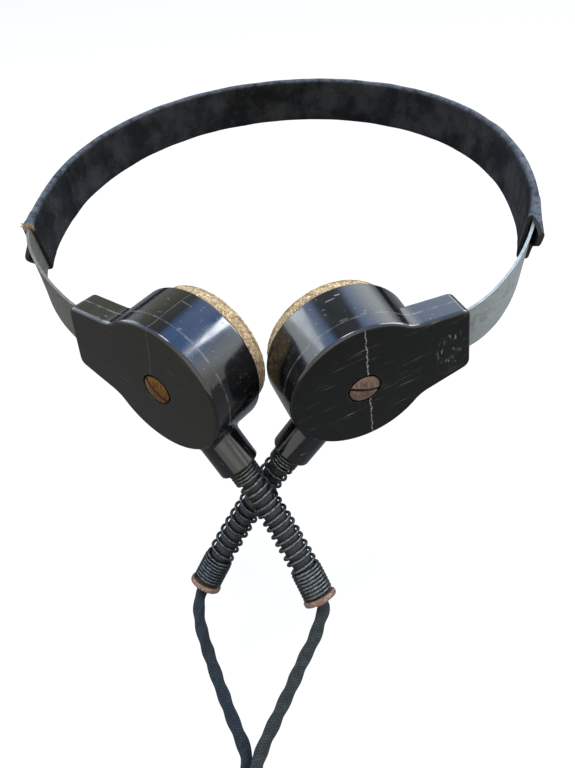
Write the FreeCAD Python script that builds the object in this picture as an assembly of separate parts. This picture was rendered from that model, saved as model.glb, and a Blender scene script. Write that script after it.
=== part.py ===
# Aviation headset: two bakelite receivers on a spring-steel headband in a
# leather sleeve, each with a coil-spring strain relief and a braided cord.
# Millimetres. +X to the wearer's right-hand receiver, +Y from the receivers
# towards the crown of the band, +Z normal to the plane of the band.
# The frame's origin is the middle of the crown's inner face.
import FreeCAD, Part
import math
import os

V = FreeCAD.Vector
os.makedirs("parts", exist_ok=True)

# ---------------------------------------------------------------- dimensions
# receiver housing (local frame: x along the neck, y up, z rear face to pad)
rear_radius = 25.0
front_radius = 26.0
housing_depth = 20.7
parting_z = 5.75
wall = 2.3
rear_floor = 2.0
neck_length = 38.0
neck_end_half = 12.8
neck_slope = 0.19
neck_depth = 10.6
neck_fillet = 11.0
neck_corner = 2.6
rear_edge_round = 1.3
neck_edge_round = 1.2
front_edge_round = 0.9
parting_chamfer = 0.3

# cable outlet barrel
barrel_angle = -140.3
barrel_radius = 7.3
barrel_end = 38.0
barrel_z = 7.5
barrel_bore = 5.75
barrel_bore_depth = 8.0
cord_hole = 2.6

# cover screw
screw_head_radius = 5.3
screw_recess_radius = 5.9
screw_recess_depth = 1.5
screw_dome = 0.75
screw_shank_radius = 2.0
screw_slot_width = 1.1
screw_slot_depth = 1.25

# motor unit inside the receiver
cavity_radius = 22.5
seat_z = 15.4
diaphragm_z = 16.4
diaphragm_thickness = 0.3
diaphragm_radius = 22.3
cap_radius = 22.6
cap_skirt_inner = 20.0
cap_plate_z = 18.9
bridge_z = 7.2
bridge_top = 9.7
magnet_inner = 9.0
magnet_outer = 15.0
magnet_depth = 2.7

# ear pad
pad_radius = 23.8
pad_inner = 10.5
pad_depth = 6.5

# headband
strip_width = 17.4
strip_thickness = 0.9
strip_offset = -1.6
sleeve_width = 19.6
sleeve_thickness = 3.2
sleeve_wall = 0.9
band_z = 15.0
hinge_gap = 1.4

# strain relief
spring_outer = 5.3
closed_outer = 5.6
spring_wire = 0.6
relief_tube_outer = 3.8
relief_tube_inner = 2.35
ferrule_radius = 6.05
ferrule_depth = 1.9
cord_radius = 2.2
trunk_radius = 2.4

# placement of the two receivers about the midpoint between their rear faces
receivers = {
    "left": dict(centre=V(-33.06, 0.0, 1.44), y=V(0.176, 0.025, 0.984),
                 z=V(0.549, 0.827, -0.119), hand=1.0, tip=V(16.8, -44.5, -62.0)),
    "right": dict(centre=V(33.06, 0.0, -1.44), y=V(-0.176, -0.025, 0.984),
                  z=V(-0.365, 0.930, -0.041), hand=-1.0, tip=V(-27.8, -33.5, -75.7)),
}
# centre line of the band in its own plane, from the left strip to the right
band_line = [(-86.0, 62.0), (-87.0, 72.0), (-87.2, 84.0), (-86.4, 97.0),
             (-84.0, 111.0), (-78.8, 126.0), (-71.4, 139.6), (-62.0, 152.0),
             (-50.8, 162.6), (-38.0, 171.2), (-24.0, 177.4), (-9.2, 181.2),
             (6.0, 182.8), (21.4, 182.0), (36.6, 178.6), (51.0, 172.8),
             (64.4, 164.6), (76.2, 154.2), (86.0, 141.6), (93.4, 127.0),
             (97.9, 111.0), (99.6, 95.0), (99.2, 80.0), (97.6, 68.0),
             (94.4, 55.0)]
left_hinge_at = 9       # station of each bending point along band_line
right_hinge_at = 15
origin_shift = V(-6.0, -181.2, -15.0)

# centre lines of the two cords below the strain reliefs, and of the trunk
cord_lines = {
    "left": [V(16.6, -49.8, -64.3), V(14.7, -54.5, -65.9), V(11.1, -60.6, -68.1),
             V(5.5, -70.3, -72.0), V(0.8, -78.3, -74.8), V(-2.6, -84.4, -76.2),
             V(-5.2, -90.2, -78.4), V(-6.2, -95.0, -83.0), V(-7.0, -98.2, -86.6)],
    "right": [V(-29.3, -41.4, -76.2), V(-28.2, -47.1, -76.4), V(-25.2, -54.9, -77.0),
              V(-20.0, -66.0, -78.2), V(-15.2, -75.5, -79.4), V(-11.8, -81.8, -80.6),
              V(-9.4, -87.2, -82.6), V(-9.4, -92.4, -86.4), V(-9.8, -95.6, -89.8)],
}
trunk_line = [V(-8.6, -99.8, -90.6), V(-9.0, -105.6, -97.0), V(-9.8, -112.0, -104.0),
              V(-10.7, -119.6, -112.4), V(-11.6, -127.2, -120.8)]
junction_top_radius = 5.7
junction_low_radius = 3.1
junction_length = 15.0
screw_turn = {"left": 32.0, "right": 150.0}


# ------------------------------------------------------------------- helpers
def unit(a):
    b = V(a)
    b.normalize()
    return b


def export(name, shape):
    s = shape.copy()
    s.translate(origin_shift)
    s.exportStep("parts/%s.step" % name)


def cyl(r, z0, z1, x=0.0, y=0.0):
    return Part.makeCylinder(r, z1 - z0, V(x, y, z0), V(0, 0, 1))


def box(x0, x1, y0, y1, z0, z1):
    return Part.makeBox(x1 - x0, y1 - y0, z1 - z0, V(x0, y0, z0))


def ring(r0, r1, z0, z1):
    return cyl(r1, z0, z1).cut(cyl(r0, z0 - 1, z1 + 1))


def tidy(shape):
    s = shape.removeSplitter()
    return s.Solids[0] if len(s.Solids) == 1 else s


def rounded(shape, radius, pick, chamfer=False):
    edges = [e for e in shape.Edges if pick(e)]
    if not edges:
        return shape
    try:
        out = (shape.makeChamfer(radius, edges) if chamfer
               else shape.makeFillet(radius, edges))
        if out.isValid() and out.Solids and out.Volume > 0.8 * shape.Volume:
            return tidy(out)
    except Exception:
        pass
    print("edge treatment left out:", radius, len(edges))
    return shape


def level(e, z, tol=1e-3):
    b = e.BoundBox
    return abs(b.ZMin - z) < tol and abs(b.ZMax - z) < tol


def receiver_axes(side):
    r = receivers[side]
    z = unit(r["z"])
    y = r["y"] - z * r["y"].dot(z)
    y.normalize()
    x = y.cross(z) * r["hand"]      # the right receiver is the left's mirror image
    return x, y, z


def world(side, x, y, z):
    ax, ay, az = receiver_axes(side)
    return receivers[side]["centre"] + ax * x + ay * y + az * z


def place(side, shape):
    x, y, z = receiver_axes(side)
    if side == "right":
        shape = shape.mirror(V(0, 0, 0), V(1, 0, 0))
        x = x * -1.0
    c = receivers[side]["centre"]
    m = FreeCAD.Matrix(x.x, y.x, z.x, c.x, x.y, y.y, z.y, c.y,
                       x.z, y.z, z.z, c.z, 0, 0, 0, 1)
    s = shape.copy()
    s.Placement = FreeCAD.Placement(m).multiply(s.Placement)
    return s


def outlet_dir():
    a = math.radians(barrel_angle)
    return V(math.cos(a), math.sin(a), 0)


# -------------------------------------------------------- receiver housing
def neck_outline(z0, z1, grow=0.0):
    """Neck in plan, blended into the round case with a concave arc each side."""
    d = unit(V(-1, neck_slope, 0))
    n = V(neck_slope, 1, 0)
    n.normalize()
    p = V(neck_length, neck_end_half, 0)
    rf = neck_fillet
    base = p + n * rf
    b = base.dot(d)
    c = base.dot(base) - (rear_radius + rf) ** 2
    t = -b + math.sqrt(max(b * b - c, 0.0))
    t2 = -b - math.sqrt(max(b * b - c, 0.0))
    centre = None
    for tt in sorted((t, t2)):
        if tt > 0:
            centre = base + d * tt
            break
    t1 = centre - n * rf
    on_circle = centre * (rear_radius / (rear_radius + rf))
    away = (on_circle + t1) * 0.5 - centre
    away.normalize()
    mid = centre + away * rf
    k = neck_corner
    c1 = p + d * k
    c2 = V(neck_length, neck_end_half - k, 0)
    cm = p + (c1 + c2 - p * 2) * 0.29
    flip = lambda q: V(q.x, -q.y, 0)
    e = [Part.Arc(on_circle, mid, t1).toShape(), Part.makeLine(t1, c1),
         Part.Arc(c1, cm, c2).toShape(), Part.makeLine(c2, flip(c2)),
         Part.Arc(flip(c2), flip(cm), flip(c1)).toShape(),
         Part.makeLine(flip(c1), flip(t1)),
         Part.Arc(flip(t1), flip(mid), flip(on_circle)).toShape(),
         Part.makeLine(flip(on_circle), on_circle)]
    f = Part.Face(Part.Wire(e))
    s = f.extrude(V(0, 0, z1 - z0))
    s.translate(V(0, 0, z0))
    return s


def outer_housing():
    cone = Part.makeCone(rear_radius, front_radius, housing_depth)
    neck = neck_outline(0, neck_depth)
    body = tidy(cone.fuse(neck))
    body = rounded(body, rear_edge_round, lambda e: level(e, 0.0))
    body = rounded(body, neck_edge_round,
                   lambda e: level(e, neck_depth) and e.BoundBox.XMax > 27.0)
    body = rounded(body, front_edge_round, lambda e: level(e, housing_depth))
    u = outlet_dir()
    start = 17.0
    barrel = Part.makeCylinder(barrel_radius, barrel_end - start,
                               u * start + V(0, 0, barrel_z), u)
    far = u * barrel_end + V(0, 0, barrel_z)
    barrel = rounded(barrel, 0.9, lambda e: e.BoundBox.DiagonalLength > 5 and
                     e.BoundBox.Center.distanceToPoint(far) < 0.5)
    both = tidy(body.fuse(barrel))

    def junction(e):
        m = e.BoundBox.Center
        if e.BoundBox.ZMin < 0.1 or e.Length < 4:
            return False
        m2 = V(m.x, m.y, 0)
        s = m2.dot(u)
        off = (m2 - u * s).Length
        return 20 < s < 27 and off < 9
    return rounded(both, 1.6, junction)


OUTER = outer_housing()
U = outlet_dir()


def bore_tools():
    far = U * barrel_end + V(0, 0, barrel_z)
    bore = Part.makeCylinder(barrel_bore, barrel_bore_depth + 2, far + U * 2, U * -1)
    hole = Part.makeCylinder(cord_hole, 24, far, U * -1)
    return bore.fuse(hole)


def strip_slot():
    return box(23.4, 60, strip_offset - strip_width / 2 - 0.2,
               strip_offset + strip_width / 2 + 0.2,
               parting_z - strip_thickness / 2 - 0.05,
               parting_z + strip_thickness / 2 + 0.05)


RIVETS = [(31.5, strip_offset - 4.5), (31.5, strip_offset + 4.5)]
COVER_PINS = [(0.0, 0.0)]


def rear_cover():
    s = OUTER.common(box(-80, 80, -80, 80, -5, parting_z))
    s = s.cut(ring(8.0, cavity_radius, rear_floor, parting_z + 1))
    s = s.cut(cyl(screw_recess_radius, -3, screw_recess_depth))
    s = s.cut(cyl(screw_shank_radius + 0.3, -3, parting_z + 1))
    s = s.cut(bore_tools()).cut(strip_slot())
    for x, y in RIVETS:
        s = s.cut(cyl(3.0, 3.6, parting_z + 1, x, y))
    s = tidy(s)
    return parting_line(s)


def parting_line(s):
    """Break the outer edge of the parting face so the joint reads as a line."""
    best = None
    for f in s.Faces:
        if f.Surface.TypeId == "Part::GeomPlane" and abs(f.CenterOfMass.z - parting_z) < 1e-4:
            if best is None or f.BoundBox.DiagonalLength > best.BoundBox.DiagonalLength:
                best = f
    if best is None:
        return s
    keep = [e for e in best.OuterWire.Edges if e.Length > 0.3]
    for some in (keep, [e for e in keep if e.BoundBox.XMax < neck_length - 0.6]):
        try:
            out = s.makeChamfer(parting_chamfer, some)
            if out.isValid() and len(out.Solids) == 1:
                return out.Solids[0]
        except Exception:
            pass
    print("parting chamfer left out")
    return s


def front_case():
    s = OUTER.common(box(-80, 80, -80, 80, parting_z, housing_depth + 5))
    s = s.cut(cyl(cavity_radius, parting_z - 1, seat_z))
    s = s.cut(cyl(19.2, seat_z - 1, diaphragm_z + 1))
    s = s.cut(cyl(cap_radius + 0.1, diaphragm_z, housing_depth + 1))
    s = s.cut(bore_tools()).cut(strip_slot())
    bridge = box(-24.5, 24.5, -5, 5, bridge_z, bridge_top).common(
        cyl(cavity_radius + 0.6, bridge_z, bridge_top))
    shelf = box(-8, 8, -24.5, -16.2, bridge_z, bridge_top).common(
        cyl(cavity_radius + 0.6, bridge_z, bridge_top))
    s = s.fuse([bridge, shelf, cyl(5.6, parting_z + 0.3, bridge_top)])
    s = s.cut(cyl(3.2, parting_z - 1, bridge_top + 1))
    for x, y in RIVETS:
        s = s.cut(cyl(1.5, parting_z - 1, 9.2, x, y))
    for x in (-4.0, 4.0):
        s = s.cut(cyl(1.25, bridge_z - 1, bridge_top + 1, x, -19.0))
    return parting_line(tidy(s))


def cover_screw():
    head = cyl(screw_head_radius, -screw_dome, screw_recess_depth)
    rs = (screw_head_radius ** 2 + screw_dome ** 2) / (2 * screw_dome) * 0.93
    head = head.common(Part.makeSphere(rs, V(0, 0, rs - screw_dome)).fuse(
        cyl(screw_head_radius, 0.12, screw_recess_depth)))
    slot = box(-10, 10, -screw_slot_width / 2, screw_slot_width / 2,
               -screw_dome - 1, screw_slot_depth - screw_dome)
    slot.rotate(V(0, 0, 0), V(0, 0, 1), screw_slot_turn)
    head = head.cut(slot)
    shank = cyl(screw_shank_radius, screw_recess_depth - 0.1, 9.0)
    return tidy(head.fuse(shank))


def insert():
    return ring(screw_shank_radius + 0.05, 3.2, parting_z + 0.4, bridge_top)


def magnet():
    return ring(magnet_inner, magnet_outer, bridge_top, bridge_top + magnet_depth)


def pole_pieces():
    z0 = bridge_top + magnet_depth
    one = box(3.6, 14, -4.5, 4.5, z0, z0 + 1.2).fuse(
        box(3.6, 5.8, -4.5, 4.5, z0 + 1.0, diaphragm_z - 0.3))
    one = tidy(one)
    two = one.mirror(V(0, 0, 0), V(1, 0, 0))
    return Part.makeCompound([one, two])


def coils():
    z0 = bridge_top + magnet_depth + 1.25
    one = box(1.7, 7.7, -6.6, 6.6, z0, diaphragm_z - 0.6).cut(
        box(3.5, 5.9, -4.6, 4.6, z0 - 1, diaphragm_z + 1))
    one = rounded(one, 0.8, lambda e: e.BoundBox.ZLength > 1.5 and
                  (abs(abs(e.BoundBox.Center.y) - 6.6) < 0.01))
    return Part.makeCompound([one, one.mirror(V(0, 0, 0), V(1, 0, 0))])


def diaphragm():
    return cyl(diaphragm_radius, diaphragm_z, diaphragm_z + diaphragm_thickness)


def front_cap():
    z0 = diaphragm_z + diaphragm_thickness
    s = cyl(cap_radius, z0, housing_depth).cut(cyl(cap_skirt_inner, z0 - 1, cap_plate_z))
    s = s.cut(cyl(1.6, z0, housing_depth + 1))
    for i in range(6):
        a = math.radians(60 * i)
        s = s.cut(cyl(1.5, z0, housing_depth + 1, 6 * math.cos(a), 6 * math.sin(a)))
    return tidy(s)


def ear_pad():
    s = ring(pad_inner, pad_radius, housing_depth, housing_depth + pad_depth)
    return rounded(s, 1.0, lambda e: level(e, housing_depth + pad_depth))


def terminal_block():
    s = box(-7, 7, -20.6, -17.0, bridge_top, bridge_top + 2.6)
    for x in (-4.0, 4.0):
        s = s.cut(cyl(1.25, bridge_top - 1, bridge_top + 5, x, -19.0))
    return rounded(tidy(s), 0.5, lambda e: level(e, bridge_top + 2.6) and e.Length > 3 and
                   e.Curve.TypeId == "Part::GeomLine")


def terminal_screws():
    out = []
    for x in (-4.0, 4.0):
        h = cyl(1.9, bridge_top + 2.6, bridge_top + 3.9, x, -19.0)
        h = h.cut(box(x - 3, x + 3, -19.3, -18.7, bridge_top + 3.3, bridge_top + 5))
        out.append(tidy(h.fuse(cyl(1.2, bridge_z + 0.2, bridge_top + 2.7, x, -19.0))))
    return Part.makeCompound(out)


def strip_rivets():
    out = []
    for x, y in RIVETS:
        h = cyl(2.6, 3.9, parting_z - strip_thickness / 2, x, y)
        h = rounded(h, 0.8, lambda e: level(e, 3.9))
        out.append(tidy(h.fuse(cyl(1.45, 4.6, 9.1, x, y))))
    return Part.makeCompound(out)


# ------------------------------------------------------------------ headband
def spline(points):
    c = Part.BSplineCurve()
    c.interpolate(points)
    return c


BAND = spline([V(x, y, band_z) for x, y in band_line])
STATION = [BAND.parameter(V(x, y, band_z)) for x, y in band_line]


def at_station(s):
    i = int(math.floor(s))
    i = min(i, len(STATION) - 2)
    return STATION[i] + (STATION[i + 1] - STATION[i]) * (s - i)


def nearest(xy):
    return BAND.parameter(V(xy[0], xy[1], band_z))


def band_point(t):
    p = BAND.value(t)
    tan = unit(BAND.tangent(t)[0])
    return p, tan, V(tan.y, -tan.x, 0) * -1.0      # outward normal


def section(p, tan, wide, w, th):
    """Rectangle across the strip: wide is the direction of its width."""
    wd = wide - tan * wide.dot(tan)
    wd.normalize()
    n = tan.cross(wd)
    n.normalize()
    c = [p + wd * a + n * b for a, b in ((w / 2, th / 2), (w / 2, -th / 2),
                                         (-w / 2, -th / 2), (-w / 2, th / 2))]
    return Part.makePolygon(c + [c[0]])


def ribbon(t0, t1, n, w, th):
    secs = []
    for i in range(n + 1):
        p, tan, _ = band_point(t0 + (t1 - t0) * i / n)
        secs.append(section(p, tan, V(0, 0, 1), w, th))
    return Part.makeLoft(secs, True, False)


def hermite(p0, m0, p1, m1, t):
    return (p0 * (2 * t ** 3 - 3 * t ** 2 + 1) + m0 * (t ** 3 - 2 * t ** 2 + t) +
            p1 * (-2 * t ** 3 + 3 * t ** 2) + m1 * (t ** 3 - t ** 2))


def smooth(t):
    return t * t * (3 - 2 * t)


def arm_strip(side):
    """Spring strip: flat in the sleeve, then a twisting run into the neck."""
    ax, ay, az = receiver_axes(side)
    if side == "left":
        hinge, end = at_station(left_hinge_at), nearest(band_line[0])
        hinge_tan = -1.0
    else:
        hinge, end = at_station(right_hinge_at), nearest(band_line[-1])
        hinge_tan = 1.0
    gap = hinge_gap / 2
    step = gap / BAND.tangent(hinge)[0].Length if BAND.tangent(hinge)[0].Length else 0
    p_h, _, _ = band_point(hinge)
    t = hinge
    while band_point(t)[0].distanceToPoint(p_h) < gap:
        t += (end - hinge) / 4000.0
    secs = []
    n = 16
    for i in range(n + 1):
        p, tan, _ = band_point(t + (end - t) * i / n)
        secs.append(section(p, tan * hinge_tan, V(0, 0, 1), strip_width, strip_thickness))
    p1, tan1, _ = band_point(end)
    tan1 = tan1 * hinge_tan
    p0 = world(side, neck_length + 1.0, strip_offset, parting_z)
    reach = p0.distanceToPoint(p1)
    m1 = ax * -1.0 * reach * 1.0
    m0 = tan1 * reach * 1.0
    k = 12
    for i in range(1, k):
        s = i / float(k)
        p = hermite(p1, m0, p0, m1, s)
        q = hermite(p1, m0, p0, m1, s + 0.002)
        tan = unit(q - p)
        wide = V(0, 0, 1) * (1 - smooth(s)) + ay * smooth(s)
        secs.append(section(p, tan, wide, strip_width, strip_thickness))
    for x in (neck_length + 2.0, neck_length + 1.0):
        secs.append(section(world(side, x, strip_offset, parting_z), ax * -1.0, ay,
                            strip_width, strip_thickness))
    s = Part.makeLoft(secs, True, False)
    flat = box(24.0, neck_length + 1.0, strip_offset - strip_width / 2,
               strip_offset + strip_width / 2, parting_z - strip_thickness / 2,
               parting_z + strip_thickness / 2)
    s = tidy(s.fuse(place(side, flat)))
    for x, y in RIVETS:
        a = world(side, x, y, 0)
        s = s.cut(Part.makeCylinder(1.5, 12, a, az))
    return s


def sleeve_part(t0, t1, n):
    outer = ribbon(t0, t1, n, sleeve_width, sleeve_thickness)
    d = (t1 - t0) * 0.02
    inner = ribbon(t0 - d, t1 + d, n, strip_width + 0.3, strip_thickness + 0.4)
    return tidy(outer.cut(inner))


def step_off(t, target, dist):
    p, _, _ = band_point(t)
    s = t
    while band_point(s)[0].distanceToPoint(p) < dist:
        s += (target - t) / 4000.0
    return s


# -------------------------------------------------------------- strain relief
def bezier(p, t):
    a = (1 - t)
    return p[0] * a ** 3 + p[1] * (3 * a * a * t) + p[2] * (3 * a * t * t) + p[3] * t ** 3


def relief_path(side):
    ax, ay, az = receiver_axes(side)
    p0 = world(side, U.x * barrel_end, U.y * barrel_end, barrel_z)
    u = ax * U.x + ay * U.y
    tip = receivers[side]["tip"]
    d = tip - p0
    length = d.Length
    d.normalize()
    cosa = d.dot(u)
    end_dir = unit(d * (2 * cosa) - u)
    a = length / 3.0 / cosa
    return p0, u, tip, end_dir, [p0, p0 + u * a, tip - end_dir * a, tip]


class Track:
    """Relief centre line by length: inside the barrel it is straight."""

    def __init__(self, side):
        self.p0, self.u, self.tip, self.end_dir, self.ctrl = relief_path(side)
        n = 400
        self.pts = [bezier(self.ctrl, i / float(n)) for i in range(n + 1)]
        self.s = [0.0]
        for i in range(n):
            self.s.append(self.s[-1] + self.pts[i].distanceToPoint(self.pts[i + 1]))
        self.length = self.s[-1]
        m = self.u.cross(self.end_dir)
        m.normalize()
        self.m = m

    def at(self, s):
        if s <= 0:
            return self.p0 + self.u * s, self.u
        if s >= self.length:
            return self.tip + self.end_dir * (s - self.length), self.end_dir
        lo, hi = 0, len(self.s) - 1
        while hi - lo > 1:
            k = (lo + hi) // 2
            if self.s[k] > s:
                hi = k
            else:
                lo = k
        f = (s - self.s[lo]) / (self.s[hi] - self.s[lo])
        p = self.pts[lo] * (1 - f) + self.pts[hi] * f
        return p, unit(self.pts[hi] - self.pts[lo])


def pipe(points, radius, inner=0.0):
    wire = Part.Wire([spline(points).toShape()])
    tan = unit(points[1] - points[0])
    def sweep(r):
        prof = Part.Wire([Part.makeCircle(r, points[0], tan)])
        return wire.makePipeShell([prof], True, False)
    s = sweep(radius)
    if inner:
        s = s.cut(sweep(inner))
    return s if s.ShapeType == "Solid" else s.Solids[0]


def relief_spring(side):
    tr = Track(side)
    runs = [(-3.9, 0.3, 3), (0.3, 5.4, 4),
            (5.4, tr.length - ferrule_depth - 10.7, 13),
            (tr.length - ferrule_depth - 10.7, tr.length - ferrule_depth - 0.75, 8)]
    secs = []
    per = 10
    turn = 0.0
    hand = receivers[side]["hand"]

    def wire_centre(j, f, n, s0, s1):
        s = s0 + (s1 - s0) * f
        r = (spring_outer if j < 3 else
             spring_outer + (closed_outer - spring_outer) * min(1.0, f * n))
        a = 2 * math.pi * (turn + f * n) * hand
        p, tan = tr.at(s)
        out = tr.m * math.cos(a) + tan.cross(tr.m) * math.sin(a)
        return p + out * (r - spring_wire), out

    for j, (s0, s1, n) in enumerate(runs):
        for i in range(n * per + (1 if j == 3 else 0)):
            f = i / float(n * per)
            p, out = wire_centre(j, f, n, s0, s1)
            q, _ = wire_centre(j, f + 0.002, n, s0, s1)
            t = unit(q - p)
            x = out - t * out.dot(t)
            x.normalize()
            y = t.cross(x)
            m = FreeCAD.Matrix(x.x, y.x, t.x, p.x, x.y, y.y, t.y, p.y,
                               x.z, y.z, t.z, p.z, 0, 0, 0, 1)
            rim = [V(spring_wire * math.cos(k * math.pi / 3), spring_wire * math.sin(k * math.pi / 3), 0)
                   for k in range(7)]
            rim[6] = rim[0]
            ringed = Part.makePolygon(rim)
            ringed.Placement = FreeCAD.Placement(m)
            secs.append(ringed)
        turn += n
    return Part.makeLoft(secs, True, True)


def along(tr, s0, s1, n):
    return [tr.at(s0 + (s1 - s0) * i / float(n))[0] for i in range(n + 1)]


def relief_tube(side):
    tr = Track(side)
    return pipe(along(tr, -2.0, tr.length - ferrule_depth - 0.15, 12),
                relief_tube_outer, relief_tube_inner)


def ferrule(side):
    tr = Track(side)
    p, d = tr.at(tr.length - ferrule_depth)
    s = Part.makeCylinder(ferrule_radius, ferrule_depth, p, d)
    s = rounded(s, 0.6, lambda e: e.Length > 10)
    lip = Part.makeCylinder(3.4, 2.6, p, d)
    s = s.fuse(lip).cut(Part.makeCylinder(cord_radius + 0.15, 12, p - d * 4, d))
    return tidy(s)


def cord_core(side):
    tr = Track(side)
    return pipe(along(tr, -1.5, tr.length + 1.2, 12), cord_radius)


def cord_inlet(side):
    tr = Track(side)
    return Part.makeCylinder(cord_radius, 14.8, tr.at(-17.0)[0], tr.u)


# --------------------------------------------------------------------- cords
def cord(side):
    tr = Track(side)
    first = tr.at(tr.length + 0.4)[0]
    s = pipe([first] + cord_lines[side], cord_radius)
    tan = unit(tr.at(tr.length + 1.3)[0] - tr.at(tr.length + 0.3)[0])
    s = s.cut(Part.makeCylinder(6.5, 9.0, tr.at(tr.length + 1.3)[0] - tan * 9.0, tan))
    return max(s.Solids, key=lambda q: q.Volume)


def junction_axis():
    top = (cord_lines["left"][-2] + cord_lines["right"][-2]) * 0.5
    d = unit(trunk_line[1] - top)
    return top, d


def cord_junction():
    top, d = junction_axis()
    s = Part.makeCone(junction_top_radius, junction_low_radius, junction_length, top, d)
    s = rounded(s, 1.0, lambda e: e.BoundBox.DiagonalLength > 5)
    for side in ("left", "right"):
        p = cord_lines[side]
        s = s.cut(pipe([p[-4]] + p[-3:], cord_radius + 0.12))
        s = s.cut(Part.makeSphere(cord_radius + 0.12, p[-1]))
    lead = [top + d * 10.6] + trunk_line[2:]
    s = s.cut(pipe(lead, trunk_radius + 0.05))
    big = max(s.Solids, key=lambda q: q.Volume)
    return big


def trunk_cord():
    top, d = junction_axis()
    a = top + d * 10.8
    end = trunk_line[-1]
    d2 = unit(end - trunk_line[-2])
    run = pipe([a] + trunk_line[2:] + [end + d2 * 2.0], trunk_radius - 0.05)
    whipped = Part.makeCylinder(trunk_radius, 18.0, end, d2)
    return tidy(run.fuse(whipped))


def build():
    global screw_slot_turn
    for side in ("left", "right"):
        screw_slot_turn = screw_turn[side]
        for name, maker in (("rear_cover", rear_cover), ("front_case", front_case),
                            ("cover_screw", cover_screw), ("cover_insert", insert),
                            ("magnet", magnet), ("pole_pieces", pole_pieces),
                            ("coils", coils), ("diaphragm", diaphragm),
                            ("front_cap", front_cap), ("ear_pad", ear_pad),
                            ("terminal_block", terminal_block),
                            ("terminal_screws", terminal_screws),
                            ("strip_rivets", strip_rivets)):
            export("%s_%s" % (side, name), place(side, maker()))
        for name, maker in (("spring_strip", arm_strip), ("relief_spring", relief_spring),
                            ("relief_tube", relief_tube), ("ferrule", ferrule),
                            ("cord_core", cord_core), ("cord_inlet", cord_inlet),
                            ("cord", cord)):
            export("%s_%s" % (side, name), maker(side))
    first, last = STATION[0], STATION[-1]
    hl, hr = at_station(left_hinge_at), at_station(right_hinge_at)
    half = hinge_gap / 2
    centre0, centre1 = step_off(hl, last, half), step_off(hr, first, half)
    export("sleeve_centre", sleeve_part(centre0, centre1, 18))
    export("sleeve_left", sleeve_part(step_off(hl, first, half), first, 26))
    export("sleeve_right", sleeve_part(step_off(hr, last, half), last, 26))
    export("band_spring_centre", ribbon(centre0, centre1, 14, strip_width, strip_thickness))
    export("cord_junction", cord_junction())
    export("trunk_cord", trunk_cord())


build()
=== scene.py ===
import bpy, math
import numpy as np
from mathutils import Vector, Matrix, noise


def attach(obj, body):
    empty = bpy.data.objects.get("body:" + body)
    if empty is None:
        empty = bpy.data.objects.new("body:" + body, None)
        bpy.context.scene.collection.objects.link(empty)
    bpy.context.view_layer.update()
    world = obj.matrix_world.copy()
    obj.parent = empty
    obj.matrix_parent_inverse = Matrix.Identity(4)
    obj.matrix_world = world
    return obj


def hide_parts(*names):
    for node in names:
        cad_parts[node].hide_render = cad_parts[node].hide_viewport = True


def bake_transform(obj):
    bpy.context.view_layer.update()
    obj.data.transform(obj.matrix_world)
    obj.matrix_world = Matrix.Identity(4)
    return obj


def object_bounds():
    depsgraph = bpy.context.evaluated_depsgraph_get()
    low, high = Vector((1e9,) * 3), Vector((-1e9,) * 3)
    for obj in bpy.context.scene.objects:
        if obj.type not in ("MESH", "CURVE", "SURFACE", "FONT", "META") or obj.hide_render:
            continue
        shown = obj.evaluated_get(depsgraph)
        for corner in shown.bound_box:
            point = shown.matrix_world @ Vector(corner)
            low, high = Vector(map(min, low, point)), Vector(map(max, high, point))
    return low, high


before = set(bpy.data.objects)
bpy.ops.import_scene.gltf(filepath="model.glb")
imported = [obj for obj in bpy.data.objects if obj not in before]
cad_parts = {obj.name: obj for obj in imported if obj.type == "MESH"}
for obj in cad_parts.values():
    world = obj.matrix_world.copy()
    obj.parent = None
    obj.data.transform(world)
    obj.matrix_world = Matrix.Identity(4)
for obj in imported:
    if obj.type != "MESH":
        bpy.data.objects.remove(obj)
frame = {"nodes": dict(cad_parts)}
CAD_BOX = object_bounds()
MM = 0.001

# ------------------------------------------------------------------ geometry data
# receiver frames (metres / unit vectors), same numbers as the design
REC = {
    "left": dict(c=(-39.06, -181.2, -13.56), x=(-0.817, 0.561, 0.132), y=(0.176, 0.025, 0.984),
                 z=(0.549, 0.827, -0.119), hand=1.0,
                 ctrl=[(-15.324, -192.011, -42.195), (-5.669, -200.385, -55.85),
                       (3.039, -211.615, -67.451), (10.8, -225.7, -77.0)],
                 u=(0.516, -0.448, -0.73), end=(0.415, -0.753, -0.511), m=(-0.841, -0.103, -0.531)),
    "right": dict(c=(27.06, -181.2, -16.44), x=(0.914, 0.366, 0.173), y=(-0.176, -0.026, 0.984),
                  z=(-0.365, 0.93, -0.041), hand=-1.0,
                  ctrl=[(1.859, -184.316, -45.688), (-11.253, -190.207, -62.581),
                        (-23.14, -200.335, -77.585), (-33.8, -214.7, -90.7)],
                  u=(-0.591, -0.266, -0.762), end=(-0.481, -0.648, -0.591), m=(-0.796, 0.039, 0.604)),
}
SHIFT = np.array([-6.0, -181.2, -15.0])
BAND = np.array([(-86.0, 62.0), (-87.0, 72.0), (-87.2, 84.0), (-86.4, 97.0), (-84.0, 111.0),
                 (-78.8, 126.0), (-71.4, 139.6), (-62.0, 152.0), (-50.8, 162.6), (-38.0, 171.2),
                 (-24.0, 177.4), (-9.2, 181.2), (6.0, 182.8), (21.4, 182.0), (36.6, 178.6),
                 (51.0, 172.8), (64.4, 164.6), (76.2, 154.2), (86.0, 141.6), (93.4, 127.0),
                 (97.9, 111.0), (99.6, 95.0), (99.2, 80.0), (97.6, 68.0), (94.4, 55.0)])
BAND3 = np.c_[BAND, np.full(len(BAND), 15.0)] + SHIFT
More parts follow.
